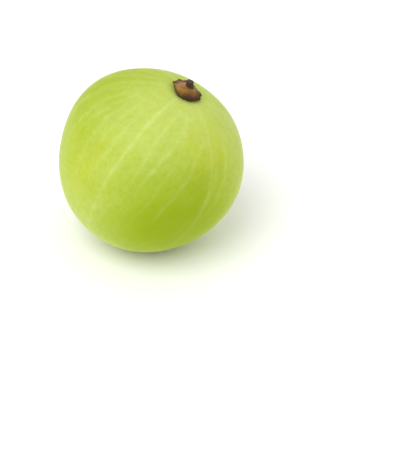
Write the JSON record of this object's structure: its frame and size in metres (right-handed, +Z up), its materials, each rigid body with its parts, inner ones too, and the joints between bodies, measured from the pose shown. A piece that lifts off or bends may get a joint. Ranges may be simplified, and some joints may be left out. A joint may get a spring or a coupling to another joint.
{
  "type": "gooseberry",
  "caption": "Whole amla gooseberry, round and softly lobed, tapering to the blossom end, with its dried calyx and broken stalk, resting on a small flat spot.",
  "frame": {"origin": "middle of the flat spot that the fruit rests on, on the surface under it", "axes": "+Z up, out of the surface; +X the way the stem end leans, 24.5 degrees from upright; Y across"},
  "size_m": [0.0356, 0.0364, 0.0357],
  "materials": {
    "skin": "smooth waxy fruit skin, yellow-green and slightly translucent, with paler veins",
    "dried_calyx": "dull, dry and wrinkled, tan to red-brown with near-black tips",
    "broken_stalk": "dull near-black broken fibre"
  },
  "bodies": {
    "root": {"fruit": "skin", "calyx": "dried_calyx", "pedicel_stub": "broken_stalk"}
  },
  "joints": []
}
